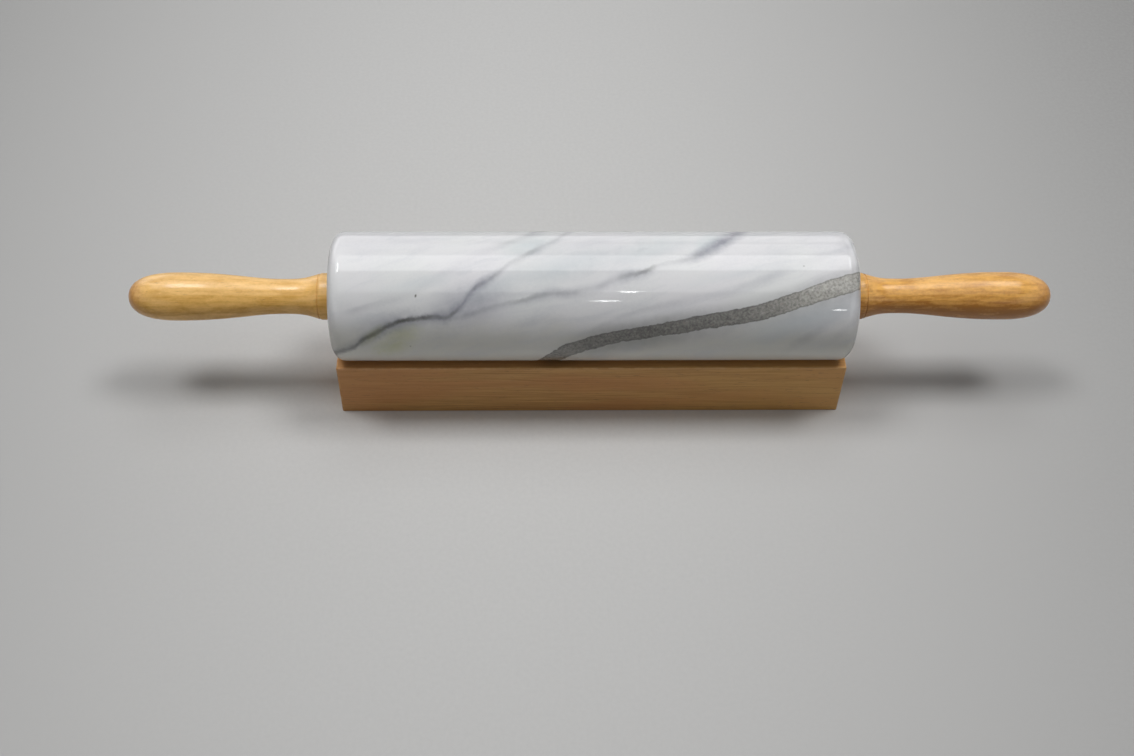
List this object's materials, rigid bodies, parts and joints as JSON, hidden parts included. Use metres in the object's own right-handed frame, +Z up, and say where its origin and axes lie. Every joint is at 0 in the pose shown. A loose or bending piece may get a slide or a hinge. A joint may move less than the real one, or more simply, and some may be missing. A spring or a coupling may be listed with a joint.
{
  "type": "rolling pin",
  "caption": "Polished marble rolling pin that turns on a steel axle with turned wooden handles, resting in the cove of its wooden cradle.",
  "frame": {"origin": "middle of the cradle's footprint, on the surface that it stands on", "axes": "+X along the pin to the right-hand handle, -Y towards the front, +Z up"},
  "size_m": [0.4544, 0.0635, 0.0917],
  "materials": {
    "marble": "polished white marble with grey veins",
    "handle_wood": "clear gloss lacquer on honey-coloured turned wood",
    "cradle_wood": "satin, straight-grained brown wood",
    "steel": "turned bright steel",
    "nylon": "natural nylon",
    "brass": "turned brass"
  },
  "bodies": {
    "cradle": {"cradle": "cradle_wood"},
    "axle": {"axle_rod": "steel", "left_thrust_washer": "steel", "left_lock_nut": "steel", "left_threaded_insert": "brass", "left_handle": "handle_wood", "right_thrust_washer": "steel", "right_lock_nut": "steel", "right_threaded_insert": "brass", "right_handle": "handle_wood"},
    "barrel": {"marble_barrel": "marble", "left_bearing_bush": "nylon", "right_bearing_bush": "nylon"}
  },
  "joints": [
    {"name": "lift", "type": "slide", "parent": "cradle", "child": "axle", "axis": [0, 0, 1], "range_m": [0, 0.08]},
    {"name": "barrel_spin", "type": "hinge", "parent": "axle", "child": "barrel", "pos_m": [0, 0, 0.05995], "axis": [1, 0, 0], "continuous": true}
  ]
}
